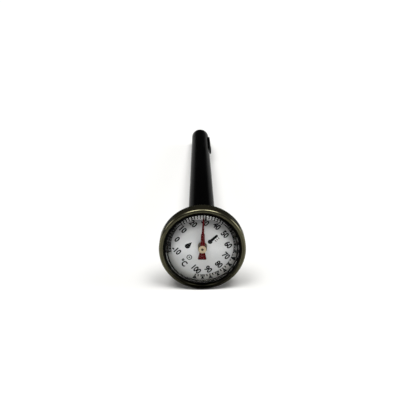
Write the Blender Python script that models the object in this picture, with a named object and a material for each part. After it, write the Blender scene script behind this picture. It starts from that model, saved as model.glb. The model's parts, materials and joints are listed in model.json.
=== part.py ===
"""Pocket dial thermometer: a bimetal stem thermometer in its black clip-on sheath.

Everything is laid out along the stem. Distances "along the stem" start at the front of the bezel and
grow towards the tip; the stem frame has +X to the right and +Y down as someone reading the dial sees
them, and +Z along the stem. An empty turns that frame into the world, where the thermometer lies on
the bezel's skirt and the far end of its sheath.
"""
import math

import bmesh
import bpy
from mathutils import Matrix

MM = 0.001

# Clearances
SEAT_GAP = 0.3 * MM            # between pieces that rest on each other
FIT_GAP = 0.06 * MM            # pressed and running fits on the stem and the spindle

# Facets round each size of turned piece; 4 n + 2 puts a flat at the top and the bottom. The head and
# the sheath have the same number, so that both lie on a flat at the same time
LARGE_FACETS = 34
SHEATH_FACETS = LARGE_FACETS
SMALL_FACETS = 22
TINY_FACETS = 14

# Bezel
BEZEL_RADIUS = 13.8 * MM
BEZEL_BORE = 12.3 * MM         # radius of the inner lip, which frames the dial
BEZEL_ROLL = (BEZEL_RADIUS - BEZEL_BORE) / 2
BEZEL_SKIRT_END = 4.65 * MM    # along the stem
BEZEL_CRIMP = 0.45 * MM
BEZEL_SKIRT_BORE = 13.2 * MM
BEZEL_LIP_BACK = 0.95 * MM

# Lens: a thin moulded cap, whose flat window stands a little proud of the bezel
LENS_FRONT = -0.2 * MM
LENS_WALL = 0.7 * MM
LENS_FLAT_RADIUS = 11.2 * MM
LENS_SLOPE_END = 12.0 * MM     # radius where the sloping edge meets the flange
LENS_FLANGE = BEZEL_LIP_BACK + SEAT_GAP
LENS_BACK = 2.2 * MM
LENS_BORE = 12.2 * MM          # at the back of the flange
LENS_RADIUS = 12.85 * MM

# Gasket, dial and the ring that spaces the dial off the case floor
GASKET_BORE = 12.4 * MM
GASKET_FRONT = 2.5 * MM
GASKET_BACK = 3.2 * MM
DIAL_RADIUS = 12.0 * MM
DIAL_BORE = 1.5 * MM
DIAL_FRONT = GASKET_BACK + SEAT_GAP
DIAL_THICKNESS = 0.4 * MM
SPACER_WALL = 0.7 * MM

# Case
CASE_RADIUS = 12.9 * MM
CASE_WALL = 0.6 * MM
CASE_RIM = GASKET_BACK + SEAT_GAP
CASE_BACK = 7.7 * MM
CASE_CORNER = 1.8 * MM
CASE_HOLE = 2.35 * MM

# Scale and pointer
SCALE_SWEEP_PER_DEGREE = 2.654       # degrees of dial for each degree Celsius
REST_TEMPERATURE = 28.3
SCALE_START = -10.0
SCALE_START_ANGLE = -99.6            # of the -10 mark, clockwise from the top of the head
POINTER_LENGTH = 10.6 * MM
POINTER_TAIL = 3.6 * MM
POINTER_FRONT = 1.01 * MM
POINTER_THICKNESS = 0.2 * MM
POINTER_HUB_RADIUS = 1.25 * MM
POINTER_SHOULDER = 0.64 * MM         # half width where the blade leaves the hub
POINTER_TIP_WIDTH = 0.13 * MM        # half width at the tip
POINTER_TAIL_WIDTH = 1.4 * MM        # half width at the end of the tail
HUB_BUTTON_RADIUS = 1.25 * MM
HUB_NECK = 0.85 * MM
HUB_BARREL_RADIUS = 1.4 * MM
HUB_FRONT = 0.75 * MM
HUB_BACK = 3.3 * MM

# Spindle
SPINDLE_RADIUS = 0.4 * MM
SPINDLE_FRONT = 0.7 * MM
SPINDLE_END = 104.3 * MM

# Stem
STEM_RADIUS = 1.9 * MM
STEM_BORE = 1.45 * MM
STEM_START = 4.6 * MM
STEM_END = 130.5 * MM
STEM_TIP_END = 133.5 * MM
STEM_TIP_NOSE = 0.7 * MM

# Hexagon nut and the pieces that clamp the case to the stem
NUT_FLATS = 8.0 * MM
NUT_START = 8.6 * MM
NUT_END = 13.2 * MM
SEAL_START = 7.85 * MM
SEAL_SECTION = 0.3 * MM
COLLAR_START = 5.2 * MM
COLLAR_END = 6.0 * MM
COLLAR_RADIUS = 3.6 * MM
WASHER_RADIUS = 4.6 * MM
WASHER_THICKNESS = 0.25 * MM
WASHER_START = 6.15 * MM
WASHER_RISE = 0.6 * MM

# Bimetal coil
COIL_RADIUS = 1.12 * MM
COIL_STRIP = 0.12 * MM
COIL_WIDTH = 0.9 * MM
COIL_PITCH = 1.35 * MM
COIL_TURNS = 16.5
COIL_START = 105.2 * MM
COIL_FACETS = 14

# Sheath
SHEATH_START = 13.5 * MM
SHEATH_MOUTH_RADIUS = 4.86 * MM
SHEATH_END_RADIUS = 4.15 * MM
SHEATH_SEAM = 129.2 * MM
SHEATH_END = 140.0 * MM
SHEATH_BORE = 3.15 * MM
SHEATH_GRIP_BORE = 2.05 * MM
SHEATH_GRIP_END = 19.0 * MM
CAP_PLUG_START = 125.8 * MM
CAP_PLUG_RADIUS = 2.95 * MM
CAP_POCKET_RADIUS = 2.3 * MM
CAP_POCKET_END = 134.6 * MM
CAP_CORNER = 1.5 * MM

# Pocket clip
CLIP_THICKNESS = 0.4 * MM
CLIP_HALF_WIDTH = 2.0 * MM
CLIP_ROOT_INSIDE = 2.9 * MM
CLIP_ROOT_PLACE = 131.9 * MM
CLIP_PIVOT = 3.45 * MM               # from the stem's axis to where the root tab rocks in its slot
CLIP_SLOT_GAP = 0.15 * MM            # room for that rocking, above and below the tab
CLIP_BEND = 0.7 * MM
CLIP_TIP_PLACE = 114.0 * MM
CLIP_OFFSET = 4.48 * MM               # from the stem's axis to the middle of the strip at its root
CLIP_SPREAD = 0.14 * MM              # how much further out the arm is near its tip
CLIP_FLARE = 0.25 * MM               # how far the last few millimetres turn up


# --------------------------------------------------------------------------- helpers

def clear_scene():
    for obj in list(bpy.data.objects):
        bpy.data.objects.remove(obj, do_unlink=True)


def make_material(name, colour, roughness, metallic=0.0, transmission=0.0):
    material = bpy.data.materials.new(name)
    material.use_nodes = True
    shader = material.node_tree.nodes["Principled BSDF"]
    shader.inputs["Base Color"].default_value = (*colour, 1.0)
    shader.inputs["Roughness"].default_value = roughness
    shader.inputs["Metallic"].default_value = metallic
    shader.inputs["Transmission Weight"].default_value = transmission
    return material


def add_piece(name, mesh_data, parent, material, smooth_angle=30.0):
    """Makes an object of a finished bmesh, with its faces pointing out and round faces smooth."""
    bmesh.ops.recalc_face_normals(mesh_data, faces=mesh_data.faces)
    mesh = bpy.data.meshes.new(name)
    mesh_data.to_mesh(mesh)
    mesh_data.free()
    mesh.shade_smooth()
    mesh.set_sharp_from_angle(angle=math.radians(smooth_angle))
    mesh.materials.append(material)
    piece = bpy.data.objects.new(name, mesh)
    bpy.context.scene.collection.objects.link(piece)
    piece.parent = parent
    return piece


def arc(centre_r, centre_z, radius, start, end, steps):
    """Points of an arc in the (r, z) half plane, its angles in degrees from +r towards +z."""
    angles = [math.radians(start + (end - start) * i / steps) for i in range(steps + 1)]
    return [(centre_r + radius * math.cos(a), centre_z + radius * math.sin(a)) for a in angles]


def turned_mesh(profile, facets):
    """Spins a closed (r, z) profile about the stem's axis."""
    mesh_data = bmesh.new()
    verts = [mesh_data.verts.new((r, 0.0, z)) for r, z in profile]
    edges = [mesh_data.edges.new((verts[i - 1], verts[i])) for i in range(len(verts))]
    bmesh.ops.spin(mesh_data, geom=verts + edges, cent=(0, 0, 0), axis=(0, 0, 1),
                   angle=math.tau, steps=facets, use_merge=True)
    bmesh.ops.remove_doubles(mesh_data, verts=mesh_data.verts, dist=1e-7)
    on_axis = [e for e in mesh_data.edges if not e.link_faces]
    bmesh.ops.delete(mesh_data, geom=on_axis, context="EDGES")
    return mesh_data


def turned(name, profile, facets, parent, material):
    return add_piece(name, turned_mesh(profile, facets), parent, material)


def ring_profile(inner, outer, start, end):
    return [(inner, start), (outer, start), (outer, end), (inner, end)]


def swept_mesh(sections):
    """Bridges a run of four-cornered sections into one closed bar."""
    mesh_data = bmesh.new()
    rings = [[mesh_data.verts.new(corner) for corner in section] for section in sections]
    for ring, following in zip(rings, rings[1:]):
        for i in range(4):
            mesh_data.faces.new((ring[i - 1], ring[i], following[i], following[i - 1]))
    mesh_data.faces.new(rings[0])
    mesh_data.faces.new(rings[-1])
    return mesh_data


def make_cutter(name, mesh_data, parent, material):
    cutter = add_piece(name, mesh_data, parent, material)
    cutter.hide_render = True
    cutter.display_type = "WIRE"
    return cutter


def add_boolean(piece, cutter, operation):
    modifier = piece.modifiers.new(cutter.name, "BOOLEAN")
    modifier.operation = operation
    modifier.solver = "EXACT"
    modifier.object = cutter


def box_mesh(low, high):
    mesh_data = bmesh.new()
    size = [b - a for a, b in zip(low, high)]
    middle = [(a + b) / 2 for a, b in zip(low, high)]
    placed = Matrix.Translation(middle) @ Matrix.Diagonal((*size, 1.0))
    bmesh.ops.create_cube(mesh_data, size=1.0, matrix=placed)
    return mesh_data


def make_empty(name, parent=None, location=(0, 0, 0), rotation=(0, 0, 0)):
    empty = bpy.data.objects.new(name, None)
    bpy.context.scene.collection.objects.link(empty)
    empty.parent = parent
    empty.location = location
    empty.rotation_euler = rotation
    return empty


# --------------------------------------------------------------------------- head

def make_bezel(parent, material):
    middle = BEZEL_BORE + BEZEL_ROLL
    profile = arc(middle, BEZEL_ROLL, BEZEL_ROLL, 180, 360, 8)
    profile += arc(BEZEL_RADIUS - BEZEL_CRIMP, BEZEL_SKIRT_END - BEZEL_CRIMP, BEZEL_CRIMP, 0, 90, 3)
    profile += [(BEZEL_SKIRT_BORE, BEZEL_SKIRT_END),
                (BEZEL_SKIRT_BORE, BEZEL_LIP_BACK + BEZEL_SKIRT_BORE - middle),
                (middle, BEZEL_LIP_BACK),
                (BEZEL_BORE, BEZEL_LIP_BACK)]
    return turned("bezel_ring", profile, LARGE_FACETS, parent, material)


def make_lens(parent, material):
    profile = [(0, LENS_FRONT),
               (LENS_FLAT_RADIUS, LENS_FRONT),
               (LENS_SLOPE_END, LENS_FLANGE - 0.1 * MM),
               (BEZEL_BORE, LENS_FLANGE),
               (LENS_RADIUS, LENS_FLANGE),
               (LENS_RADIUS, LENS_BACK),
               (LENS_BORE, LENS_BACK),
               (LENS_FLAT_RADIUS - LENS_WALL / 2, LENS_FRONT + LENS_WALL),
               (0, LENS_FRONT + LENS_WALL)]
    return turned("lens", profile, LARGE_FACETS, parent, material)


def make_gasket(parent, material):
    profile = ring_profile(GASKET_BORE, LENS_RADIUS, GASKET_FRONT, GASKET_BACK)
    return turned("lens_gasket", profile, LARGE_FACETS, parent, material)


def make_dial(parent, material):
    profile = ring_profile(DIAL_BORE, DIAL_RADIUS, DIAL_FRONT, DIAL_FRONT + DIAL_THICKNESS)
    return turned("dial_plate", profile, LARGE_FACETS, parent, material)


def make_spacer(parent, material):
    start = DIAL_FRONT + DIAL_THICKNESS + SEAT_GAP
    end = CASE_BACK - CASE_WALL - SEAT_GAP
    profile = ring_profile(DIAL_RADIUS - SPACER_WALL, DIAL_RADIUS, start, end)
    outer_corner = arc(DIAL_RADIUS - CASE_CORNER + SEAT_GAP, end - CASE_CORNER + SEAT_GAP,
                       CASE_CORNER - SEAT_GAP, 0, 60, 3)
    profile = profile[:2] + outer_corner + [(DIAL_RADIUS - SPACER_WALL, outer_corner[-1][1])]
    return turned("dial_spacer", profile, LARGE_FACETS, parent, material)


def make_case(parent, material):
    corner = (CASE_RADIUS - CASE_CORNER, CASE_BACK - CASE_CORNER)
    outside = [(CASE_RADIUS, CASE_RIM)] + arc(*corner, CASE_CORNER, 0, 90, 5)
    inside = arc(*corner, CASE_CORNER - CASE_WALL, 90, 0, 5) + [(CASE_RADIUS - CASE_WALL, CASE_RIM)]
    floor_edge = [(CASE_HOLE, CASE_BACK), (CASE_HOLE, CASE_BACK - CASE_WALL)]
    return turned("case_cup", outside + floor_edge + inside, LARGE_FACETS, parent, material)


def make_friction_washer(parent, material):
    inner = CASE_HOLE
    low = WASHER_START
    profile = [(inner, low), (inner, low + WASHER_THICKNESS),
               (WASHER_RADIUS, low + WASHER_RISE + WASHER_THICKNESS),
               (WASHER_RADIUS, low + WASHER_RISE)]
    return turned("friction_washer", profile, SMALL_FACETS, parent, material)


# --------------------------------------------------------------------------- movement

def make_pointer(parent, material):
    """A tapered blade, a round hub and a flared tail, cut from one thin sheet."""
    shoulder_angle = math.asin(POINTER_SHOULDER / POINTER_HUB_RADIUS)
    hub_steps = 6
    right = [(POINTER_TIP_WIDTH, -POINTER_LENGTH)]
    first = -math.pi / 2 + shoulder_angle
    for i in range(hub_steps + 1):
        angle = first + (math.pi - 2 * shoulder_angle) * i / hub_steps
        right.append((POINTER_HUB_RADIUS * math.cos(angle), POINTER_HUB_RADIUS * math.sin(angle)))
    right.append((POINTER_TAIL_WIDTH, POINTER_TAIL - 0.25 * MM))
    right.append((POINTER_TAIL_WIDTH - 0.3 * MM, POINTER_TAIL))
    outline = right + [(-x, y) for x, y in reversed(right)]

    mesh_data = bmesh.new()
    front = mesh_data.faces.new([mesh_data.verts.new((x, y, POINTER_FRONT)) for x, y in outline])
    extruded = bmesh.ops.extrude_face_region(mesh_data, geom=[front], use_keep_orig=True)
    back = [v for v in extruded["geom"] if isinstance(v, bmesh.types.BMVert)]
    bmesh.ops.translate(mesh_data, verts=back, vec=(0, 0, POINTER_THICKNESS))
    pointer = add_piece("pointer", mesh_data, parent, material)

    hole = turned_mesh([(0, 0), (HUB_NECK + FIT_GAP, 0), (HUB_NECK + FIT_GAP, 2 * POINTER_FRONT),
                        (0, 2 * POINTER_FRONT)], SMALL_FACETS)
    add_boolean(pointer, make_cutter("pointer_hole_cutter", hole, parent, material), "DIFFERENCE")
    return pointer


def make_pointer_hub(parent, material):
    """A turned barrel whose riveted button holds the pointer on its front."""
    bore = SPINDLE_RADIUS + FIT_GAP
    button_back = POINTER_FRONT - FIT_GAP
    barrel_front = POINTER_FRONT + POINTER_THICKNESS + FIT_GAP
    edge = 0.12 * MM
    profile = [(bore, HUB_FRONT), (HUB_BUTTON_RADIUS - edge, HUB_FRONT),
               (HUB_BUTTON_RADIUS, HUB_FRONT + edge), (HUB_BUTTON_RADIUS, button_back),
               (HUB_NECK, button_back), (HUB_NECK, barrel_front), (HUB_BARREL_RADIUS, barrel_front),
               (HUB_BARREL_RADIUS, HUB_BACK), (bore, HUB_BACK)]
    return turned("pointer_hub", profile, SMALL_FACETS, parent, material)


def make_spindle(parent, material):
    chamfer = 0.08 * MM
    profile = [(0, SPINDLE_FRONT), (SPINDLE_RADIUS - chamfer, SPINDLE_FRONT),
               (SPINDLE_RADIUS, SPINDLE_FRONT + chamfer), (SPINDLE_RADIUS, SPINDLE_END),
               (0, SPINDLE_END)]
    return turned("spindle", profile, TINY_FACETS, parent, material)


def make_coil_collet(parent, material):
    length = 2.0 * MM
    profile = ring_profile(SPINDLE_RADIUS + FIT_GAP, 0.95 * MM,
                           SPINDLE_END - length, SPINDLE_END + 0.1 * MM)
    return turned("coil_collet", profile, TINY_FACETS, parent, material)


# --------------------------------------------------------------------------- stem

def make_stem_tube(parent, material):
    profile = ring_profile(STEM_BORE, STEM_RADIUS, STEM_START, STEM_END)
    return turned("stem_tube", profile, SMALL_FACETS, parent, material)


def make_stem_tip(parent, material):
    spigot_start = STEM_END - 1.0 * MM
    spigot = STEM_BORE - FIT_GAP
    shoulder = STEM_END + FIT_GAP
    nose = STEM_TIP_NOSE
    profile = [(0, spigot_start), (spigot, spigot_start), (spigot, shoulder), (STEM_RADIUS, shoulder)]
    profile += arc(nose, STEM_TIP_END - nose, nose, 30, 90, 3)
    profile += [(0, STEM_TIP_END)]
    return turned("stem_tip", profile, SMALL_FACETS, parent, material)


def make_hex_nut(parent, material):
    corner_radius = NUT_FLATS / 2 / math.cos(math.radians(30))
    height = NUT_END - NUT_START
    middle = Matrix.Translation((0, 0, (NUT_START + NUT_END) / 2))
    mesh_data = bmesh.new()
    bmesh.ops.create_cone(mesh_data, cap_ends=True, segments=6, radius1=corner_radius,
                          radius2=corner_radius, depth=height,
                          matrix=middle @ Matrix.Rotation(math.radians(30), 4, "Z"))
    nut = add_piece("hex_nut", mesh_data, parent, material)

    over = 1.0 * MM
    chamfer = 0.5 * MM
    face = NUT_FLATS / 2 - 0.1 * MM
    blank = turned_mesh([(0, NUT_START - over), (face, NUT_START - over), (face, NUT_START),
                         (corner_radius + 0.2 * MM, NUT_START + chamfer),
                         (corner_radius + 0.2 * MM, NUT_END - chamfer),
                         (face, NUT_END), (face, NUT_END + over), (0, NUT_END + over)], 34)
    add_boolean(nut, make_cutter("nut_chamfer_cutter", blank, parent, material), "INTERSECT")
    bore = turned_mesh([(0, NUT_START - over), (STEM_RADIUS + FIT_GAP, NUT_START - over),
                        (STEM_RADIUS + FIT_GAP, NUT_END + over), (0, NUT_END + over)], SMALL_FACETS)
    add_boolean(nut, make_cutter("nut_bore_cutter", bore, parent, material), "DIFFERENCE")
    return nut


def make_seal_ring(parent, material):
    """An O-ring between the back of the case and the nut."""
    middle_radius = CASE_HOLE + 0.4 * MM
    section = arc(middle_radius, SEAL_START + SEAL_SECTION, SEAL_SECTION, 0, 315, 7)
    return turned("seal_ring", section, SMALL_FACETS, parent, material)


def make_retaining_collar(parent, material):
    profile = ring_profile(STEM_RADIUS + FIT_GAP, COLLAR_RADIUS, COLLAR_START, COLLAR_END)
    return turned("retaining_collar", profile, SMALL_FACETS, parent, material)


def make_upper_guide(parent, material):
    """A flanged bush that closes the top of the stem and centres the spindle."""
    bore = SPINDLE_RADIUS + FIT_GAP
    flange_start = STEM_START - FIT_GAP - 0.35 * MM
    flange_end = STEM_START - FIT_GAP
    end = STEM_START + 2.0 * MM
    body = STEM_BORE - FIT_GAP
    profile = [(bore, flange_start), (STEM_RADIUS, flange_start), (STEM_RADIUS, flange_end),
               (body, flange_end), (body, end), (bore, end)]
    return turned("upper_guide_bush", profile, SMALL_FACETS, parent, material)


def make_guide(name, place, parent, material):
    length = 1.6 * MM
    profile = ring_profile(SPINDLE_RADIUS + FIT_GAP, STEM_BORE - FIT_GAP, place, place + length)
    return turned(name, profile, SMALL_FACETS, parent, material)


def make_bimetal_coil(parent, material):
    """A strip wound into a helix, its two ends led in towards the axis."""
    steps = int(COIL_TURNS * COIL_FACETS)
    lead_turns = 0.3
    inner_end = 0.35 * MM
    sections = []
    for i in range(steps + 1):
        turn = COIL_TURNS * i / steps
        to_end = min(turn, COIL_TURNS - turn) / lead_turns
        blend = min(1.0, to_end)
        radius = inner_end + (COIL_RADIUS - inner_end) * math.sin(blend * math.pi / 2)
        angle = math.tau * turn
        place = COIL_START + COIL_PITCH * turn
        corners = [(-1, -1), (1, -1), (1, 1), (-1, 1)]
        sections.append([((radius + a * COIL_STRIP / 2) * math.cos(angle),
                          (radius + a * COIL_STRIP / 2) * math.sin(angle),
                          place + b * COIL_WIDTH / 2) for a, b in corners])
    return add_piece("bimetal_coil", swept_mesh(sections), parent, material)


def make_coil_anchor(parent, material):
    start = COIL_START + COIL_PITCH * COIL_TURNS + COIL_WIDTH / 2 + FIT_GAP
    end = STEM_END - 1.0 * MM - FIT_GAP
    profile = [(0, start), (STEM_BORE - FIT_GAP, start), (STEM_BORE - FIT_GAP, end), (0, end)]
    return turned("coil_anchor", profile, SMALL_FACETS, parent, material)


# --------------------------------------------------------------------------- sheath

def sheath_radius(place):
    """Outer radius of the sheath, which tapers evenly from its mouth to the seam."""
    share = (place - SHEATH_START) / (SHEATH_SEAM - SHEATH_START)
    return SHEATH_MOUTH_RADIUS + (SHEATH_END_RADIUS - SHEATH_MOUTH_RADIUS) * share


def make_sheath_tube(parent, material):
    lip = 0.3 * MM
    funnel = 0.5 * MM
    profile = [(SHEATH_GRIP_BORE + funnel, SHEATH_START),
               (sheath_radius(SHEATH_START) - lip, SHEATH_START),
               (sheath_radius(SHEATH_START + lip), SHEATH_START + lip),
               (SHEATH_END_RADIUS, SHEATH_SEAM),
               (SHEATH_BORE, SHEATH_SEAM),
               (SHEATH_BORE, SHEATH_GRIP_END + SHEATH_BORE - SHEATH_GRIP_BORE),
               (SHEATH_GRIP_BORE, SHEATH_GRIP_END),
               (SHEATH_GRIP_BORE, SHEATH_START + funnel)]
    return turned("sheath_tube", profile, SHEATH_FACETS, parent, material)


def make_sheath_cap(parent, material):
    """The closed end: a rounded cap on a hollow plug, slotted for the root of the clip."""
    seam = SHEATH_SEAM + FIT_GAP
    profile = [(SHEATH_END_RADIUS, seam)]
    profile += arc(SHEATH_END_RADIUS - CAP_CORNER, SHEATH_END - CAP_CORNER - 0.15 * MM, CAP_CORNER,
                   0, 75, 5)
    profile += [(0, SHEATH_END), (0, CAP_POCKET_END), (CAP_POCKET_RADIUS, CAP_POCKET_END),
                (CAP_POCKET_RADIUS, CAP_PLUG_START), (CAP_PLUG_RADIUS, CAP_PLUG_START),
                (CAP_PLUG_RADIUS, seam)]
    cap = turned("sheath_end_cap", profile, SHEATH_FACETS, parent, material)

    room = CLIP_THICKNESS / 2 + CLIP_SLOT_GAP
    side = CLIP_HALF_WIDTH + FIT_GAP
    slot = box_mesh((CLIP_ROOT_INSIDE - CLIP_SLOT_GAP, -side, CLIP_ROOT_PLACE - room),
                    (SHEATH_END_RADIUS + 1.0 * MM, side, CLIP_ROOT_PLACE + room))
    add_boolean(cap, make_cutter("clip_slot_cutter", slot, parent, material), "DIFFERENCE")
    return cap


def clip_centre_line():
    """Stations (x, z, direction angle) down the middle of the strip, from its root to its tip."""
    bend_steps = 5
    arm_steps = 10
    bend_x = CLIP_OFFSET - CLIP_BEND
    bend_z = CLIP_ROOT_PLACE - CLIP_BEND
    stations = [(CLIP_ROOT_INSIDE, CLIP_ROOT_PLACE)]
    for i in range(bend_steps + 1):
        angle = math.radians(90 - 90 * i / bend_steps)
        stations.append((bend_x + CLIP_BEND * math.cos(angle), bend_z + CLIP_BEND * math.sin(angle)))
    for i in range(1, arm_steps + 1):
        share = i / arm_steps
        out = CLIP_SPREAD * math.sin(share * math.pi / 2)
        flare = CLIP_FLARE * max(0.0, (share - 0.8) / 0.2) ** 2
        stations.append((CLIP_OFFSET + out + flare, bend_z + (CLIP_TIP_PLACE - bend_z) * share))
    return stations


def make_pocket_clip(parent, material):
    stations = clip_centre_line()
    round_tip = 2.0 * MM
    sections = []
    for i, (x, z) in enumerate(stations):
        before = stations[max(i - 1, 0)]
        after = stations[min(i + 1, len(stations) - 1)]
        length = math.hypot(after[0] - before[0], after[1] - before[1])
        along = ((after[0] - before[0]) / length, (after[1] - before[1]) / length)
        out = (-along[1] * CLIP_THICKNESS / 2, along[0] * CLIP_THICKNESS / 2)
        to_tip = min(1.0, (z - CLIP_TIP_PLACE) / round_tip)
        half = CLIP_HALF_WIDTH * (0.55 + 0.45 * math.sqrt(1.0 - (1.0 - to_tip) ** 2))
        sections.append([(x - out[0], -half, z - out[1]), (x + out[0], -half, z + out[1]),
                         (x + out[0], half, z + out[1]), (x - out[0], half, z - out[1])])
    clip = add_piece("pocket_clip", swept_mesh(sections), parent, material)
    clip.location = -parent.location
    return clip


# --------------------------------------------------------------------------- assembly

def lay_down(frame):
    """Tilts the stem frame onto the bezel's skirt and the sheath's far end, centred on the origin."""
    skirt = BEZEL_RADIUS * math.cos(math.pi / LARGE_FACETS)
    skirt_place = BEZEL_SKIRT_END - BEZEL_CRIMP
    heel = SHEATH_END_RADIUS * math.cos(math.pi / SHEATH_FACETS)
    heel_place = SHEATH_END - CAP_CORNER - 0.15 * MM
    tilt = math.atan2(skirt - heel, heel_place - skirt_place)
    height = skirt * math.cos(tilt) + skirt_place * math.sin(tilt)

    flat_reach = math.cos(math.pi / LARGE_FACETS)
    roll_front = (BEZEL_ROLL * (1 - math.cos(tilt))
                  - (BEZEL_BORE + BEZEL_ROLL) * flat_reach * math.sin(tilt))
    lens_front = LENS_FRONT * math.cos(tilt) - LENS_FLAT_RADIUS * flat_reach * math.sin(tilt)
    front = min(roll_front, lens_front)
    back = SHEATH_END * math.cos(tilt)
    frame.location = (0, -(front + back) / 2, height)
    frame.rotation_euler = (-math.pi / 2 - tilt, 0, 0)


def build():
    clear_scene()
    steel = make_material("stainless_steel", (0.62, 0.60, 0.55), 0.22, 1.0)
    spring_steel = make_material("spring_steel", (0.42, 0.42, 0.42), 0.35, 1.0)
    brass = make_material("brass", (0.72, 0.56, 0.32), 0.35, 1.0)
    bimetal = make_material("bimetal", (0.58, 0.50, 0.40), 0.40, 1.0)
    clear = make_material("clear_plastic", (0.95, 0.97, 0.97), 0.05, 0.0, 1.0)
    rubber = make_material("black_rubber", (0.02, 0.02, 0.02), 0.75)
    face = make_material("dial_white", (0.78, 0.79, 0.80), 0.55)
    red = make_material("pointer_red", (0.32, 0.01, 0.03), 0.40)
    nylon = make_material("nylon", (0.80, 0.78, 0.70), 0.50)
    black = make_material("black_plastic", (0.012, 0.012, 0.012), 0.28)

    stem = make_empty("stem_frame")
    lay_down(stem)
    movement_turn = math.radians(SCALE_START_ANGLE
                                 + (REST_TEMPERATURE - SCALE_START) * SCALE_SWEEP_PER_DEGREE)
    head = make_empty("head_turn", stem)
    movement = make_empty("pointer_turn", stem, rotation=(0, 0, movement_turn))
    sheath = make_empty("sheath_slide", stem)
    clip = make_empty("clip_flex", sheath, location=(CLIP_PIVOT, 0, CLIP_ROOT_PLACE))

    make_bezel(head, steel)
    make_lens(head, clear)
    make_gasket(head, rubber)
    make_dial(head, face)
    make_spacer(head, nylon)
    make_case(head, steel)
    make_friction_washer(head, spring_steel)

    make_pointer(movement, red)
    make_pointer_hub(movement, brass)
    make_spindle(movement, steel)
    make_coil_collet(movement, brass)

    make_stem_tube(stem, steel)
    make_stem_tip(stem, steel)
    make_hex_nut(stem, steel)
    make_seal_ring(stem, rubber)
    make_retaining_collar(stem, steel)
    make_upper_guide(stem, brass)
    make_guide("middle_guide_bush", 52.0 * MM, stem, brass)
    make_guide("lower_guide_bush", 98.0 * MM, stem, brass)
    make_bimetal_coil(stem, bimetal)
    make_coil_anchor(stem, steel)

    make_sheath_tube(sheath, black)
    make_sheath_cap(sheath, black)
    make_pocket_clip(clip, black)


build()
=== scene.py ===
"""Looks of the pocket dial thermometer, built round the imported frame.

Pieces are modelled in the stem frame: its origin is the front of the bezel on the stem's axis, +X is to
the right and +Y is down as someone reading the dial sees them, and +Z runs along the stem. Sizes here are
in millimetres. A piece's mesh stays in that frame, so its object coordinates are the stem's own, and its
object carries the tilt that lays the thermometer on the floor.
"""
import json
import math

import bmesh
import bpy
import numpy as np
from mathutils import Euler, Matrix, Vector


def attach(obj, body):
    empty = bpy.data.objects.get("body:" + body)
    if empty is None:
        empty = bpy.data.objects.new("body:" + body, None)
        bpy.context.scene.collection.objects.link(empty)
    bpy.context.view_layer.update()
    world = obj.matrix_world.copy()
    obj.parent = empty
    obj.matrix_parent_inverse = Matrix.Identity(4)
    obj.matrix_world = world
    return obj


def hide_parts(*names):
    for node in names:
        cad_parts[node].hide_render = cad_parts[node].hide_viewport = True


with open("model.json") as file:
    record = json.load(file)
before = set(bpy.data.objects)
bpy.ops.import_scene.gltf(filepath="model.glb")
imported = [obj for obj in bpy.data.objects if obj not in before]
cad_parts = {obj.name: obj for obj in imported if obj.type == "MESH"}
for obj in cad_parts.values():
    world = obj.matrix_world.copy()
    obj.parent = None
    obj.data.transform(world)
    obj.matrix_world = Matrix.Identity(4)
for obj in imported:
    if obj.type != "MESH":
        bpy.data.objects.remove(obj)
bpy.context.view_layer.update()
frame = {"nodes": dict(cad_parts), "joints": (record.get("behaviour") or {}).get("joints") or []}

MM = 0.001
FACE_COOL = (0.84, 0.845, 0.87)
FACE_WARM = (0.94, 0.94, 0.945)
FACE_TOP_SHADE = 0.4           # painted shade: the face darkens towards its top, past a circle set a little low, as in the bezel lip's shadow
SHADE_CENTRE = 3.3             # how far that circle's centre lies below the dial's
SHADE_START = 8.7
SHADE_END = 12.0
FINE_FACETS = 192              # round the bezel and the lens
FACETS = 144                   # round each other large piece
SMALL_FACETS = 64
SHARP_ANGLE = 34.0             # edges sharper than this, in degrees, aren't smoothed over


# --------------------------------------------------------------------------- the stem frame

def stem_frame():
    """The stem frame's matrix, from the pointer's joint and the front of the bezel."""
    joint = next(j for j in frame["joints"] if j["name"] == "pointer_turn")
    along = Vector(joint["axis"]).normalized()
    right = Vector((1, 0, 0))
    down = along.cross(right)
    turn = Matrix((right, down, along)).transposed()
    on_axis = Vector(joint["pos_m"])
    front = min((v.co - on_axis).dot(along) for v in frame["nodes"]["bezel_ring"].data.vertices)
    return Matrix.Translation(on_axis + along * front) @ turn.to_4x4()


STEM = stem_frame()


def local_points(node):
    """A CAD node's vertices in the stem frame, in millimetres."""
    to_stem = STEM.inverted()
    return np.array([to_stem @ v.co for v in frame["nodes"][node].data.vertices]) / MM


def span(node):
    """Where a node starts and ends along the stem."""
    places = local_points(node)[:, 2]
    return float(places.min()), float(places.max())


def reach(node):
    """A turned node's radius at its flats, which face up and down."""
    return float(abs(local_points(node)[:, 1]).max())


def around(angle, radius):
    """(x, y) of a point on the dial, its angle clockwise from the top."""
    turn = math.radians(angle)
    return radius * math.sin(turn), -radius * math.cos(turn)


# --------------------------------------------------------------------------- meshes

def make_piece(name, mesh, body, material, sharp=SHARP_ANGLE, place=None):
    """Makes a piece of a mesh in millimetres, faces out, and lets it ride on a CAD body."""
    mesh.transform(Matrix.Scale(MM, 4))
    data = bmesh.new()
    data.from_mesh(mesh)
    bmesh.ops.recalc_face_normals(data, faces=data.faces)
    data.to_mesh(mesh)
    data.free()
    mesh.shade_smooth()
    mesh.set_sharp_from_angle(angle=math.radians(sharp))
    mesh.materials.append(material)
    piece = bpy.data.objects.new(name, mesh)
    bpy.context.scene.collection.objects.link(piece)
    piece.matrix_world = STEM @ place if place is not None else STEM
    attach(piece, body)
    return piece


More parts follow.
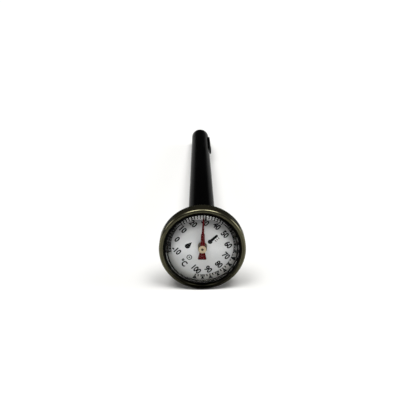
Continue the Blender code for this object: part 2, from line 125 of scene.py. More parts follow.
def rounded(corners, steps):
    """A closed (r, z) outline from corners (r, z, rounding), each rounding drawn as an arc."""
    outline = []
    for i, (r, z, size) in enumerate(corners):
        corner = Vector((r, z))
        to_last = Vector(corners[i - 1][:2]) - corner
        to_next = Vector(corners[(i + 1) % len(corners)][:2]) - corner
        if size <= 0:
            outline.append((r, z))
            continue
        half = to_last.angle(to_next) / 2
        middle = corner + (to_last.normalized() + to_next.normalized()).normalized() * size / math.sin(half)
        cut = size / math.tan(half)
        first = corner + to_last.normalized() * cut - middle
        last = corner + to_next.normalized() * cut - middle
        start = math.atan2(first.y, first.x)
        sweep = (math.atan2(last.y, last.x) - start + math.pi) % math.tau - math.pi
        for k in range(steps + 1):
            turn = start + sweep * k / steps
            outline.append((middle.x + size * math.cos(turn), middle.y + size * math.sin(turn)))
    return outline


def arc(centre_r, centre_z, radius, start, end, steps):
    """Points of an arc in the (r, z) half plane, its angles in degrees from +r towards +z."""
    turns = [math.radians(start + (end - start) * i / steps) for i in range(steps + 1)]
    return [(centre_r + radius * math.cos(a), centre_z + radius * math.sin(a)) for a in turns]


def turned_mesh(name, outline, facets, shape=None, turns=None):
    """Spins a closed (r, z) outline about the stem. shape(r, angle) may change the radius on the way."""
    turns = turns or [math.tau * i / facets for i in range(facets)]
    points, rows = [], []
    for r, z in outline:
        if abs(r) < 1e-6:
            rows.append([len(points)] * len(turns))
            points.append((0.0, 0.0, z))
            continue
        rows.append(list(range(len(points), len(points) + len(turns))))
        for a in turns:
            radius = shape(r, a) if shape else r
            points.append((radius * math.cos(a), radius * math.sin(a), z))
    faces = []
    for i, row in enumerate(rows):
        last = rows[i - 1]
        for j in range(len(turns)):
            corners = [last[j - 1], last[j], row[j], row[j - 1]]
            kept = [c for k, c in enumerate(corners) if c != corners[k - 1]]
            if len(kept) > 2:
                faces.append(kept)
    mesh = bpy.data.meshes.new(name)
    mesh.from_pydata(points, [], faces)
    return mesh


def turned(name, outline, body, material, facets=FACETS, **more):
    return make_piece(name, turned_mesh(name, outline, facets, **more), body, material)


def plate_mesh(name, outline, front, back):
    """A flat plate with an outline in the dial's plane."""
    data = bmesh.new()
    ring = [data.verts.new((x, y, front)) for x, y in outline]
    face = data.faces.new(ring)
    moved = bmesh.ops.extrude_face_region(data, geom=[face], use_keep_orig=True)
    verts = [g for g in moved["geom"] if isinstance(g, bmesh.types.BMVert)]
    bmesh.ops.translate(data, verts=verts, vec=(0, 0, back - front))
    mesh = bpy.data.meshes.new(name)
    data.to_mesh(mesh)
    data.free()
    return mesh


def join_meshes(name, meshes):
    """One mesh of several."""
    data = bmesh.new()
    for mesh in meshes:
        data.from_mesh(mesh)
        bpy.data.meshes.remove(mesh)
    joined = bpy.data.meshes.new(name)
    data.to_mesh(joined)
    data.free()
    return joined


def cut_away(piece, cutter_mesh):
    """Subtracts a mesh, in metres in the piece's own frame, from a piece."""
    cutter = bpy.data.objects.new("cutter", cutter_mesh)
    bpy.context.scene.collection.objects.link(cutter)
    cutter.matrix_world = piece.matrix_world
    modifier = piece.modifiers.new("cut", "BOOLEAN")
    modifier.operation = "DIFFERENCE"
    modifier.solver = "EXACT"
    modifier.object = cutter
    bpy.context.view_layer.update()
    graph = bpy.context.evaluated_depsgraph_get()
    result = bpy.data.meshes.new_from_object(piece.evaluated_get(graph))
    piece.modifiers.clear()
    piece.data = result
    piece.data.set_sharp_from_angle(angle=math.radians(SHARP_ANGLE))
    bpy.data.objects.remove(cutter)


# --------------------------------------------------------------------------- material nodes

def new_material(name):
    """A new material, with its node tree, its shader and its coordinates."""
    material = bpy.data.materials.new(name)
    material.use_nodes = True
    tree = material.node_tree
    return material, tree, tree.nodes["Principled BSDF"], Coordinates(tree)


def put(tree, socket, value):
    """Links a socket to another, or sets its value."""
    if isinstance(value, bpy.types.NodeSocket):
        tree.links.new(value, socket)
    elif isinstance(value, tuple) and len(value) == 3 and len(socket.default_value) == 4:
        socket.default_value = (*value, 1.0)
    else:
        socket.default_value = value


def set_inputs(tree, node, values):
    """Links or sets a node's inputs, by name or number."""
    for key, value in values.items():
        put(tree, node.inputs[key], value)


def add(tree, kind, inputs=None, **settings):
    """A shader node with its inputs linked or set."""
    node = tree.nodes.new("ShaderNode" + kind)
    for key, value in settings.items():
        setattr(node, key, value)
    set_inputs(tree, node, inputs or {})
    return node


def math_node(tree, operation, a, b=0.0):
    return add(tree, "Math", {0: a, 1: b}, operation=operation).outputs[0]


def times(tree, a, b):
    return math_node(tree, "MULTIPLY", a, b)


def scaled(tree, value, low, high, from_low=0.0, from_high=1.0, smooth=False):
    """Maps a value from one span to another."""
    node = add(tree, "MapRange", {"Value": value, "From Min": from_low, "From Max": from_high,
                                  "To Min": low, "To Max": high})
    node.interpolation_type = "SMOOTHSTEP" if smooth else "LINEAR"
    return node.outputs[0]


def ramp(tree, place, low, high, start, end, smooth=False):
    """Maps a place, as it goes from start to end in millimetres, to a value."""
    return scaled(tree, place, low, high, start * MM, end * MM, smooth)


def mixed(tree, share, first, second):
    node = tree.nodes.new("ShaderNodeMix")
    node.data_type = "RGBA"
    set_inputs(tree, node, {"Factor": share, 6: first, 7: second})
    return node.outputs[2]


def dimmed(tree, colour, share):
    return add(tree, "VectorMath", {0: colour, "Scale": share}, operation="SCALE").outputs[0]


def noise(tree, vector, size, detail, roughness=0.55):
    """Noise whose blotches are about size millimetres across."""
    return add(tree, "TexNoise", {"Vector": vector, "Scale": 1.0 / (size * MM), "Detail": detail,
                                  "Roughness": roughness}).outputs[0]


def bump(tree, height, depth, below=None):
    """A bump of a height from 0 to 1, depth millimetres deep."""
    inputs = {"Height": height, "Distance": depth * MM, "Strength": 1.0}
    if below is not None:
        inputs["Normal"] = below
    return add(tree, "Bump", inputs).outputs[0]


class Coordinates:
    """Object coordinates, and the stem's radius, place and angle made from them."""

    def __init__(self, tree):
        self.tree = tree
        self.point = add(tree, "TexCoord").outputs["Object"]
        parts = add(tree, "SeparateXYZ", {0: self.point})
        self.x, self.y, self.z = parts.outputs
        self.r = math_node(tree, "SQRT", math_node(
            tree, "ADD", times(tree, self.x, self.x), times(tree, self.y, self.y)))

    def stretched(self, x, y, z):
        """The point with each axis scaled: a small factor draws the noise out along that axis."""
        return add(self.tree, "VectorMath", {0: self.point, 1: (x, y, z)}, operation="MULTIPLY").outputs[0]

    def from_below(self, drop):
        """The distance on the dial from a spot some millimetres below its centre."""
        moved = add(self.tree, "VectorMath", {0: self.point, 1: (0.0, drop * MM, 0.0)}, operation="SUBTRACT")
        flat = add(self.tree, "VectorMath", {0: moved.outputs[0], 1: (1.0, 1.0, 0.0)}, operation="MULTIPLY")
        return add(self.tree, "VectorMath", {0: flat.outputs[0]}, operation="LENGTH").outputs["Value"]

    def rings(self):
        """A point that changes with radius and place only, so that noise becomes turning marks."""
        return add(self.tree, "CombineXYZ", {"X": self.r, "Z": self.z}).outputs[0]


# --------------------------------------------------------------------------- materials

def steel(name, colour, dark, rough_low, rough_high, mark_depth, foot=1.0, metallic=1.0, crest=1.0):
    """Turned stainless steel: rings from the lathe, smudges and fine scratches.

    A foot under 1 paints shade on its lower side, nearly black at its very bottom, and a crest under 1 paints
    shade on the front of the bezel's roll.
    """
    material, tree, shader, at = new_material(name)
    smudge = noise(tree, at.point, 5.0, 4.0)
    fine_rings = noise(tree, at.rings(), 0.09, 2.0)
    wide_rings = noise(tree, at.rings(), 0.6, 2.0)
    scratch = noise(tree, at.stretched(1.0, 0.15, 0.6), 0.35, 5.0, 0.7)
    scratched = scaled(tree, scratch, 0.0, 1.0, 0.62, 0.72, True)
    tone = math_node(tree, "ADD", times(tree, smudge, 0.6), times(tree, wide_rings, 0.4))
    body = mixed(tree, scaled(tree, tone, 0.0, 1.0, 0.3, 0.7), dark, colour)
    light = tuple(min(1.0, c * 1.35) for c in colour)
    worn = mixed(tree, scaled(tree, scratched, 0.0, 0.35), body, light)
    if foot < 1.0:
        # painted shade: the lower side darker, and nearly black at the very bottom
        low = math_node(tree, "ADD", at.y, scaled(tree, smudge, -1.5 * MM, 1.5 * MM))
        painted_bottom_shade = times(tree, ramp(tree, low, 1.0, foot, 5.0, 12.0, True),
                      ramp(tree, low, 1.0, 0.1, 11.4, 12.6, True))
        worn = dimmed(tree, worn, painted_bottom_shade)
    if crest < 1.0:
        # painted shade: a darker band on the front of the bezel's roll
        painted_crest_shade = math_node(tree, "MAXIMUM", ramp(tree, at.r, 1.0, crest, 12.4, 12.75, True),
                           ramp(tree, at.r, crest, 1.0, 13.05, 13.45, True))
        worn = dimmed(tree, worn, painted_crest_shade)
    rough = scaled(tree, smudge, rough_low, rough_high, 0.3, 0.7)
    marks = bump(tree, fine_rings, mark_depth)
    set_inputs(tree, shader, {
        "Base Color": worn,
        "Metallic": scaled(tree, smudge, metallic, min(1.0, metallic + 0.1)),
        "Roughness": math_node(tree, "ADD", rough, times(tree, scratched, 0.08)),
        "Specular Tint": dark,
        "Normal": bump(tree, scratch, mark_depth * 0.6, marks),
    })
    return material


def clear_plastic():
    """The moulded lens. Lamps shine straight through it, so that the dial under it is lit."""
    material, tree, shader, at = new_material("lens_clear_plastic")
    haze = noise(tree, at.point, 4.0, 3.0)
    hairline = noise(tree, at.stretched(1.0, 0.2, 1.0), 0.25, 4.0, 0.7)
    set_inputs(tree, shader, {
        "Base Color": mixed(tree, haze, (0.985, 0.985, 0.98), (0.95, 0.955, 0.95)),
        "Transmission Weight": 1.0,
        "IOR": 1.49,
        "Roughness": scaled(tree, haze, 0.0, 0.015, 0.35, 0.75),
        "Specular Tint": (0.12, 0.12, 0.12),
        "Normal": bump(tree, hairline, 0.0004),
    })
    open_way = add(tree, "BsdfTransparent", {"Color": (0.93, 0.945, 0.94)})
    ray = add(tree, "LightPath")
    mix = add(tree, "MixShader", {0: ray.outputs["Is Shadow Ray"], 1: shader.outputs[0],
                                  2: open_way.outputs[0]})
    tree.links.new(mix.outputs[0], tree.nodes["Material Output"].inputs["Surface"])
    return material


def rubber():
    material, tree, shader, at = new_material("black_rubber_gasket")
    grain = noise(tree, at.point, 0.15, 4.0)
    bloom = noise(tree, at.point, 2.0, 3.0)
    set_inputs(tree, shader, {
        "Base Color": mixed(tree, scaled(tree, bloom, 0.0, 1.0, 0.4, 0.75), (0.003, 0.003, 0.003),
                            (0.009, 0.0085, 0.008)),
        "Roughness": scaled(tree, bloom, 0.6, 0.82),
        "Specular IOR Level": 0.08,
        "Normal": bump(tree, grain, 0.01),
    })
    return material


BAND_PAINTED_LIGHT_AND_SHADE = [                 # painted light and shade of the band under the marks: degrees clockwise from the top, and the tone there
    (0, (0.03, 0.028, 0.03)), (40, (0.05, 0.045, 0.05)), (62, (0.10, 0.098, 0.10)),
    (80, (0.15, 0.148, 0.15)), (98, (0.30, 0.30, 0.30)), (114, (0.56, 0.55, 0.53)),
    (190, (0.58, 0.57, 0.54)), (205, (0.62, 0.62, 0.60)), (255, (0.56, 0.56, 0.555)),
    (265, (0.09, 0.088, 0.09)), (312, (0.06, 0.058, 0.06)), (360, (0.03, 0.028, 0.03)),
]


def angle_from_top(tree, at):
    """The angle clockwise from the top of the dial, as a share of a turn."""
    turn = math_node(tree, "ARCTAN2", at.x, times(tree, at.y, -1.0))
    share = math_node(tree, "DIVIDE", turn, math.tau)
    return math_node(tree, "FRACT", math_node(tree, "ADD", share, 1.0))


def tones(tree, value, stops):
    node = tree.nodes.new("ShaderNodeValToRGB")
    put(tree, node.inputs[0], value)
    elements = node.color_ramp.elements
    while len(elements) < len(stops):
        elements.new(1.0)
    for element, (place, colour) in zip(elements, stops):
        element.position = place
        element.color = (*colour, 1.0)
    return node.outputs[0]


def enamel():
    """The dial's enamel: a pale face, a band in tones of painted light and shade under the marks, and a
    crescent of painted light at its top.
    """
    material, tree, shader, at = new_material("dial_white_enamel")
    cloud = noise(tree, at.point, 6.0, 3.0)
    speck = noise(tree, at.point, 0.12, 2.0)
    peel = noise(tree, at.point, 0.35, 2.0)

    face = mixed(tree, scaled(tree, cloud, 0.0, 1.0, 0.3, 0.7), FACE_COOL, FACE_WARM)
    # painted shade: the face is darker towards its bottom and its rim, and darker still at its top past a low
    # circle, where the bezel's lip shades it
    shade = times(tree, ramp(tree, at.y, 1.0, 0.78, 0.5, 5.0, True),
                  ramp(tree, at.r, 1.0, 0.86, 6.0, 11.5, True))
    top_shade = ramp(tree, at.from_below(SHADE_CENTRE), 1.0, FACE_TOP_SHADE, SHADE_START, SHADE_END, True)
    face = dimmed(tree, face, times(tree, shade, top_shade))

    # painted light and shade: the band's tone changes round the dial, and it darkens outwards under the bezel
    band = tones(tree, angle_from_top(tree, at), [(place / 360, tone) for place, tone in BAND_PAINTED_LIGHT_AND_SHADE])
    band = dimmed(tree, band, ramp(tree, at.r, 1.0, 0.5, SCALE_RING + 0.1, SCALE_RIM + 0.1))
    in_band = ramp(tree, at.r, 0.0, 1.0, SCALE_RING - 0.05, SCALE_RING + 0.02)
    face_with_painted_light = mixed(tree, in_band, face, band)

    # painted light: a white crescent at the top of the face, where light gathered by the lens's edge falls
    outside = ramp(tree, at.from_below(CRESCENT_CENTRE), 0.0, 1.0, CRESCENT_RADIUS - 0.1,
                   CRESCENT_RADIUS + 0.15)
    inside = ramp(tree, at.r, 1.0, 0.0, CRESCENT_RIM - 0.1, CRESCENT_RIM + 0.1)
    upper = ramp(tree, at.y, 1.0, 0.0, -7.6, -7.0)
    painted_light_crescent = times(tree, times(tree, outside, inside), upper)
    face_with_painted_light = mixed(tree, painted_light_crescent, face_with_painted_light, (0.9, 0.9, 0.9))
    set_inputs(tree, shader, {
        "Base Color": mixed(tree, scaled(tree, speck, 0.0, 0.4, 0.68, 0.78), face_with_painted_light, (0.3, 0.3, 0.29)),
        "Roughness": scaled(tree, cloud, 0.42, 0.58),
        "Specular IOR Level": 0.3,
        "Normal": bump(tree, peel, 0.004),
    })
    return material


def ink():
    material, tree, shader, at = new_material("scale_ink_black")
    patch = noise(tree, at.point, 0.5, 3.0)
    set_inputs(tree, shader, {
        "Base Color": mixed(tree, patch, (0.002, 0.002, 0.003), (0.010, 0.010, 0.011)),
        "Roughness": scaled(tree, patch, 0.5, 0.7),
        "Specular IOR Level": 0.06,
        "Normal": bump(tree, patch, 0.002),
    })
    return material


def red_paint():
    """Thin dark red paint on the pointer, worn paler at a few specks."""
    material, tree, shader, at = new_material("pointer_red_paint")
    depth = noise(tree, at.point, 1.2, 3.0)
    fleck = noise(tree, at.point, 0.1, 3.0, 0.7)
    paint = mixed(tree, depth, (0.055, 0.0004, 0.0012), (0.09, 0.0008, 0.0025))
    worn = scaled(tree, fleck, 0.0, 0.7, 0.72, 0.8)
    set_inputs(tree, shader, {
        "Base Color": mixed(tree, worn, paint, (0.16, 0.03, 0.02)),
        "Roughness": scaled(tree, depth, 0.34, 0.5),
        "Specular IOR Level": 0.05,
        "Normal": bump(tree, fleck, 0.003),
    })
    return material


def turned_brass(name, colour, dark, rough):
    material, tree, shader, at = new_material(name)
    tarnish = noise(tree, at.point, 0.8, 4.0)
    rings = noise(tree, at.rings(), 0.06, 2.0)
    set_inputs(tree, shader, {
        "Base Color": mixed(tree, scaled(tree, tarnish, 0.0, 1.0, 0.35, 0.7), colour, dark),
        "Metallic": 1.0,
        "Roughness": scaled(tree, tarnish, rough, rough + 0.15),
        "Normal": bump(tree, rings, 0.004),
    })
    return material


def fading_gloss(tree, facing, grazing):
    """Gloss that is lost at grazing angles, as on a finely grained skin."""
    edge = add(tree, "LayerWeight", {"Blend": 0.5}).outputs["Facing"]
    return scaled(tree, edge, facing, grazing, 0.30, 0.55, True)


def moulded_black():
    """Black plastic of the sheath: a fine moulded skin, flow lines, and grey scuffs in worn patches."""
    material, tree, shader, at = new_material("sheath_black_plastic")
    skin = noise(tree, at.point, 0.22, 3.0)
    flow = noise(tree, at.stretched(1.0, 1.0, 0.08), 1.6, 3.0)
    scuff = noise(tree, at.stretched(1.0, 1.0, 0.12), 0.25, 5.0, 0.7)
    wear = scaled(tree, noise(tree, at.point, 7.0, 3.0), 0.0, 1.0, 0.52, 0.72, True)
    scuffed = times(tree, scaled(tree, scuff, 0.0, 1.0, 0.6, 0.72, True), wear)
    black = mixed(tree, flow, (0.0004, 0.0004, 0.0005), (0.0012, 0.0012, 0.0013))
    rough = scaled(tree, flow, 0.12, 0.2)
    set_inputs(tree, shader, {
        "Base Color": mixed(tree, scaled(tree, scuffed, 0.0, 0.6), black, (0.022, 0.022, 0.021)),
        "Roughness": math_node(tree, "ADD", rough, times(tree, scuffed, 0.22)),
        "Specular IOR Level": fading_gloss(tree, 0.3, 0.0012),
        "Normal": bump(tree, flow, 0.012, bump(tree, skin, 0.004)),
    })
    return material


def enamelled_black():
    """Black enamel on the clip's spring steel, rubbed through along its long edges."""
    material, tree, shader, at = new_material("clip_black_enamel")
    peel = noise(tree, at.point, 0.3, 3.0)
    chip = noise(tree, at.stretched(1.0, 1.0, 0.35), 0.3, 4.0, 0.65)
    edge = ramp(tree, math_node(tree, "ABSOLUTE", at.y), 0.0, 1.0, 1.8, 2.02)
    bare = scaled(tree, times(tree, edge, chip), 0.0, 1.0, 0.42, 0.55, True)
    black = mixed(tree, peel, (0.003, 0.003, 0.0032), (0.007, 0.007, 0.0073))
    set_inputs(tree, shader, {
        "Base Color": mixed(tree, bare, black, (0.32, 0.31, 0.29)),
        "Metallic": bare,
        "Roughness": scaled(tree, peel, 0.24, 0.36),
        "Specular IOR Level": fading_gloss(tree, 0.25, 0.002),
        "Normal": bump(tree, peel, 0.005),
    })
    return material


def nylon():
    material, tree, shader, at = new_material("natural_nylon")
    cloud = noise(tree, at.point, 2.0, 3.0)
    grain = noise(tree, at.point, 0.2, 3.0)
    set_inputs(tree, shader, {
        "Base Color": mixed(tree, cloud, (0.74, 0.71, 0.62), (0.85, 0.83, 0.76)),
        "Roughness": scaled(tree, cloud, 0.42, 0.56),
        "Subsurface Weight": 0.1,
        "Subsurface Scale": 0.0005,
        "Normal": bump(tree, grain, 0.004),
    })
    return material


def bimetal():
    """Rolled strip, streaked along the winding."""
    material, tree, shader, at = new_material("rolled_bimetal_strip")
    streak = noise(tree, at.stretched(1.0, 0.25, 1.0), 0.4, 4.0)
    set_inputs(tree, shader, {
        "Base Color": mixed(tree, streak, (0.46, 0.41, 0.34), (0.66, 0.58, 0.46)),
        "Metallic": 1.0,
        "Roughness": scaled(tree, streak, 0.3, 0.45),
        "Normal": bump(tree, streak, 0.004),
    })
    return material


# --------------------------------------------------------------------------- head

def make_bezel(material):
    """A rolled ring: its front is a half round, and its rear edge is crimped in round the case."""
    front, end = span("bezel_ring")
    outer = reach("bezel_ring")
    inner, roll, crimp, bore = 12.26, 0.74, 0.5, 13.15
    middle = inner + roll
    lip = front + 0.97
    outline = arc(middle, front + roll, roll, 180, 360, 22)
    outline += [(outer, end - 1.0)]
    outline += arc(outer - crimp, end - crimp, crimp, 0, 80, 6)
    outline += [(bore, end - 0.02), (bore, front + 1.1), (middle + 0.05, lip), (inner + 0.12, lip),
                (inner + 0.02, front + 0.9)]
    piece = turned("bezel", outline, "head", material, facets=FINE_FACETS)
    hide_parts("bezel_ring")


def make_case(material):
    """The drawn cup behind the bezel, with a shallow pressed ring in its back."""
    rim, back = span("case_cup")
    outer = reach("case_cup")
    wall, corner, hole = 0.6, 1.8, 2.35
    press_in, press_out, press = 5.0, 9.6, 0.16
    corners = [(outer, rim, 0.1), (outer, back, corner), (press_out, back, 0.5),
               (press_out - 0.5, back - press, 0.5), (press_in + 0.5, back - press, 0.5),
               (press_in, back, 0.5), (hole, back, 0.15), (hole, back - wall, 0.05),
               (outer - wall, back - wall, corner - wall), (outer - wall, rim, 0.1)]
    piece = turned("case", rounded(corners, 6), "head", material)
    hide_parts("case_cup")


def make_lens(material, rim):
    """A thin moulded cap: a flat window, a sloping edge black from its middle out, and a black wall."""
    front, back = span("lens")
    outer = reach("lens")
    window, clear, slope_end, bore, wall, flange = 11.2, 11.62, 12.0, 12.25, 0.7, 1.25
    foot = flange - 0.1
    edge = front + (foot - front) * (clear - window) / (slope_end - window)
    corners = [(0, front, 0), (window, front, 0.25), (clear, edge, 0), (slope_end, foot, 0.05),
               (slope_end + 0.25, flange, 0.05), (outer, flange, 0.1), (outer, back, 0.1),
               (bore, back, 0.1), (window - wall / 2, front + wall, 0.15), (0, front + wall, 0)]
    piece = turned("lens_window", rounded(corners, 4), "head", material, facets=FINE_FACETS)
    piece.data.materials.append(rim)
    for face in piece.data.polygons:
        middle = face.center / MM
        radius = math.hypot(middle.x, middle.y)
        on_slope = radius > clear and middle.z < flange + 0.1
        if on_slope or radius > bore - 0.02:
            face.material_index = 1
    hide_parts("lens")


def make_gasket(material):
    front, back = span("lens_gasket")
    outer = reach("lens_gasket")
    bore, edge = 12.4, 0.15
    corners = [(bore, front, edge), (outer, front, edge), (outer, back, edge), (bore, back, edge)]
    piece = turned("gasket", rounded(corners, 4), "head", material)
    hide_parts("lens_gasket")


def make_dial(material):
    front, back = span("dial_plate")
    outer = reach("dial_plate")
    hole = 1.5
    corners = [(hole, front, 0.06), (outer, front, 0.08), (outer, back, 0.08), (hole, back, 0.06)]
    piece = turned("dial", rounded(corners, 3), "head", material)
    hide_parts("dial_plate")


# --------------------------------------------------------------------------- printed scale

SWEEP = 2.657                  # degrees of dial for each degree Celsius
SCALE_START = -10
SCALE_END = 100
START_ANGLE = -99.0            # of the first mark, clockwise from the top of the head
DIAL_TURN = 46.4               # how far the head is turned, so that its numbers lean over
SCALE_RING = 9.98              # radius of the fine circle, where the band of marks begins
RING_HALF = 0.04               # half that circle's width
TICK_RIM = 10.75               # how far out the fine marks run
SCALE_RIM = 11.65              # how far out the bold marks run
CRESCENT_RIM = 11.0            # painted light: a bright crescent at the top lies between this circle and a flatter arc
CRESCENT_CENTRE = 17.8
CRESCENT_RADIUS = 26.9
CRESCENT_HALF = 43             # degrees either side of the top
CRESCENT_MARKS = 9.45          # where the marks that cross it begin
WAIST_PLACE = 0.36             # how far along a mark its waist lies
BOLD_FROM = 48                 # between these angles the marks are bold bars
BOLD_TO = 130
NUMBER_RADIUS = 8.3
NUMBER_HEIGHT = 1.92
NUMBER_WIDTH = 0.86            # narrower than the typeface
UNIT_ANGLE = 227               # where the degrees Celsius sign stands
FIGURE_HEIGHT = 0.73           # of a digit of the built-in typeface at size 1
FIGURE_WEIGHT = 0.042          # how much bolder than the typeface
PRINT_DEPTH = 0.012
PRINT_SINK = 0.004             # how much of that lies below the dial's face


def scale_angle(temperature):
    return START_ANGLE + (temperature - SCALE_START) * SWEEP


def mark_outline(angle, inner, outer, inner_half, outer_half, waist=None):
    """A mark pointing at the centre, with its half widths at each end and, if it has one, at its waist."""
    turn = math.radians(angle)
    side = Vector((math.cos(turn), math.sin(turn)))
    stations = [(inner, inner_half)]
    if waist is not None:
        stations.append((inner + (outer - inner) * WAIST_PLACE, waist))
    stations.append((outer, outer_half))
    middle = [(Vector(around(angle, r)), w) for r, w in stations]
    right = [m + side * w for m, w in middle]
    left = [m - side * w for m, w in reversed(middle)]
    return [tuple(p) for p in right + left]


def text_mesh(text, place, face):
    """Figures printed on the dial, upright in the dial's own frame, centred on place."""
    curve = bpy.data.curves.new("figures", "FONT")
    curve.body = text
    curve.size = 1.0
    curve.offset = FIGURE_WEIGHT
    curve.resolution_u = 6
    source = bpy.data.objects.new("figures", curve)
    bpy.context.scene.collection.objects.link(source)
    bpy.context.view_layer.update()
    flat = bpy.data.meshes.new_from_object(source.evaluated_get(bpy.context.evaluated_depsgraph_get()))
    bpy.data.objects.remove(source)
    bpy.data.curves.remove(curve)
    data = bmesh.new()
    data.from_mesh(flat)
    bpy.data.meshes.remove(flat)
    bmesh.ops.remove_doubles(data, verts=data.verts, dist=1e-5)
    xs = [v.co.x for v in data.verts]
    middle = ((min(xs) + max(xs)) / 2, FIGURE_HEIGHT / 2, 0)
    size = NUMBER_HEIGHT / FIGURE_HEIGHT
    lean = Matrix.Rotation(math.radians(DIAL_TURN), 4, "Z")
    shape = Matrix.Diagonal((size * NUMBER_WIDTH, -size, 1, 1)) @ Matrix.Translation([-c for c in middle])
    bmesh.ops.transform(data, verts=data.verts, matrix=Matrix.Translation((*place, face)) @ lean @ shape)
    extruded = bmesh.ops.extrude_face_region(data, geom=data.faces[:], use_keep_orig=True)
    verts = [g for g in extruded["geom"] if isinstance(g, bmesh.types.BMVert)]
    bmesh.ops.translate(data, verts=verts, vec=(0, 0, -PRINT_DEPTH))
    mesh = bpy.data.meshes.new("figures")
    data.to_mesh(mesh)
    data.free()
    return mesh


def print_plate(outline, face):
    return plate_mesh("print", outline, face - PRINT_DEPTH + PRINT_SINK, face + PRINT_SINK)


def print_arc(inner, outer, start, end, face):
    """A printed line along a circle, from one angle clockwise to another."""
    angles = [start + (end - start) * i / 120 for i in range(121)]
    outline = [around(a, outer) for a in angles] + [around(a, inner) for a in reversed(angles)]
    return print_plate(outline, face)


def print_ring(inner, outer, face):
    low = face - PRINT_DEPTH + PRINT_SINK
    outline = [(inner, low), (outer, low), (outer, face + PRINT_SINK), (inner, face + PRINT_SINK)]
    return turned_mesh("print", outline, 160)


def pictogram_place(outline, place):
    """Turns an outline upright in the dial's own frame and moves it to its place."""
    lean = math.radians(DIAL_TURN)
    return [(place[0] + x * math.cos(lean) - y * math.sin(lean),
             place[1] + x * math.sin(lean) + y * math.cos(lean)) for x, y in outline]


def make_pictograms(face):
    """Three plain pictograms: a drop, a thermometer, and a ring with a dot."""
    drop_place, thermometer_place, ring_place = (-4.4, -0.4), (3.4, -2.4), (-4.2, 3.8)
    drop = [(0.0, -1.5)] + arc(0.0, 0.45, 0.85, -28, 200, 19)
    thermometer = arc(0.0, -1.6, 0.4, 180, 360, 9) + arc(0.0, 1.3, 0.75, -58, 230, 24)
    dot = arc(0.0, 0.0, 0.3, 0, 345, 23)
    outlines = [(drop, drop_place), (thermometer, thermometer_place)]
    outlines += [([(0.65, y), (1.3, y), (1.3, y + 0.22), (0.65, y + 0.22)], thermometer_place)
                 for y in (-1.6, -0.95, -0.3)]
    outlines.append((dot, ring_place))
    parts = [print_plate(pictogram_place(outline, place), face) for outline, place in outlines]
    ring = print_ring(0.62, 0.9, face)
    ring.transform(Matrix.Translation((*ring_place, 0)))
    return parts + [ring]


def make_scale(material):
    """The printed scale: a fine circle, marks every 2, 5 and 10 degrees Celsius, and the figures."""
    face = span("dial_plate")[0]
    line = (SCALE_RING - RING_HALF, SCALE_RING + RING_HALF)
    parts = [print_arc(*line, scale_angle(SCALE_START), -CRESCENT_HALF, face),
             print_arc(*line, CRESCENT_HALF, scale_angle(SCALE_END), face)]
    for temperature in range(SCALE_START, SCALE_END + 1):
        angle = scale_angle(temperature)
        if abs(angle) < CRESCENT_HALF:
            if temperature % 2 == 0:
                parts.append(print_plate(mark_outline(angle, CRESCENT_MARKS, CRESCENT_RIM, 0.16, 0.22), face))
            continue
        bold = BOLD_FROM < angle < BOLD_TO
        if temperature % 10 == 0:
            outline = mark_outline(angle, SCALE_RING, SCALE_RIM, 0.22, 0.78, 0.4 if bold else 0.17)
        elif temperature % 5 == 0:
            rim_half, waist = (0.64, 0.34) if bold else (0.56, 0.14)
            outline = mark_outline(angle, SCALE_RING, SCALE_RIM - 0.1, 0.16, rim_half, waist)
        elif temperature % 2 == 0:
            outline = mark_outline(angle, SCALE_RING, SCALE_RING + 0.4 if bold else TICK_RIM, 0.2, 0.2)
        else:
            continue
        parts.append(print_plate(outline, face))
    for temperature in range(SCALE_START, SCALE_END + 1, 10):
        place = around(scale_angle(temperature), NUMBER_RADIUS)
        parts.append(text_mesh(str(temperature), place, face + PRINT_SINK))
    parts.append(text_mesh("°C", around(UNIT_ANGLE, NUMBER_RADIUS), face + PRINT_SINK))
    parts += make_pictograms(face)
    make_piece("dial_scale", join_meshes("dial_scale", parts), "head", material, sharp=20)


# --------------------------------------------------------------------------- movement

def movement_turn():
    """How far the pointer stands from the top at rest, found from its CAD node's tip."""
    points = local_points("pointer")
    tip = points[np.argmax(np.hypot(points[:, 0], points[:, 1]))]
    ends = points[np.hypot(points[:, 0], points[:, 1]) > np.hypot(tip[0], tip[1]) - 0.05]
    x, y = ends[:, 0].mean(), ends[:, 1].mean()
    return math.atan2(x, -y)


def make_pointer(material):
    """A tapered blade with a shoulder, a round hub and a flared tail, cut from thin sheet."""
    front, back = span("pointer")
    length, tail, hub, neck, hole_radius = 10.6, 3.6, 1.24, 0.70, 0.92
    right = [(0.13, -length), (0.21, -length + 0.5), (0.41, -5.35), (0.58, -5.1), (neck, -1.6)]
    first = math.degrees(math.asin(neck / hub)) - 90
    last = 90 - math.degrees(math.asin(0.8 / hub))
    right += arc(0.0, 0.0, hub, first, last, 12)
    right += [(1.38, tail - 0.35), (1.3, tail - 0.08), (1.1, tail)]
    outline = right + [(-x, y) for x, y in reversed(right)]
    mesh = plate_mesh("pointer_blade", outline, front, back)
    place = Matrix.Rotation(movement_turn(), 4, "Z")
    piece = make_piece("pointer_blade", mesh, "movement", material, sharp=30, place=place)
    soften(piece, 0.04)
    low, high = front - 1, back + 1
    hole = turned_mesh("hole", [(0, low), (hole_radius, low), (hole_radius, high), (0, high)], SMALL_FACETS)
    hole.transform(Matrix.Scale(MM, 4))
    cut_away(piece, hole)
    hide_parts("pointer")


def soften(piece, width):
    """Bevels a piece's sharp edges."""
    modifier = piece.modifiers.new("edges", "BEVEL")
    modifier.width = width * MM
    modifier.segments = 2
    modifier.limit_method = "ANGLE"
    modifier.angle_limit = math.radians(40)


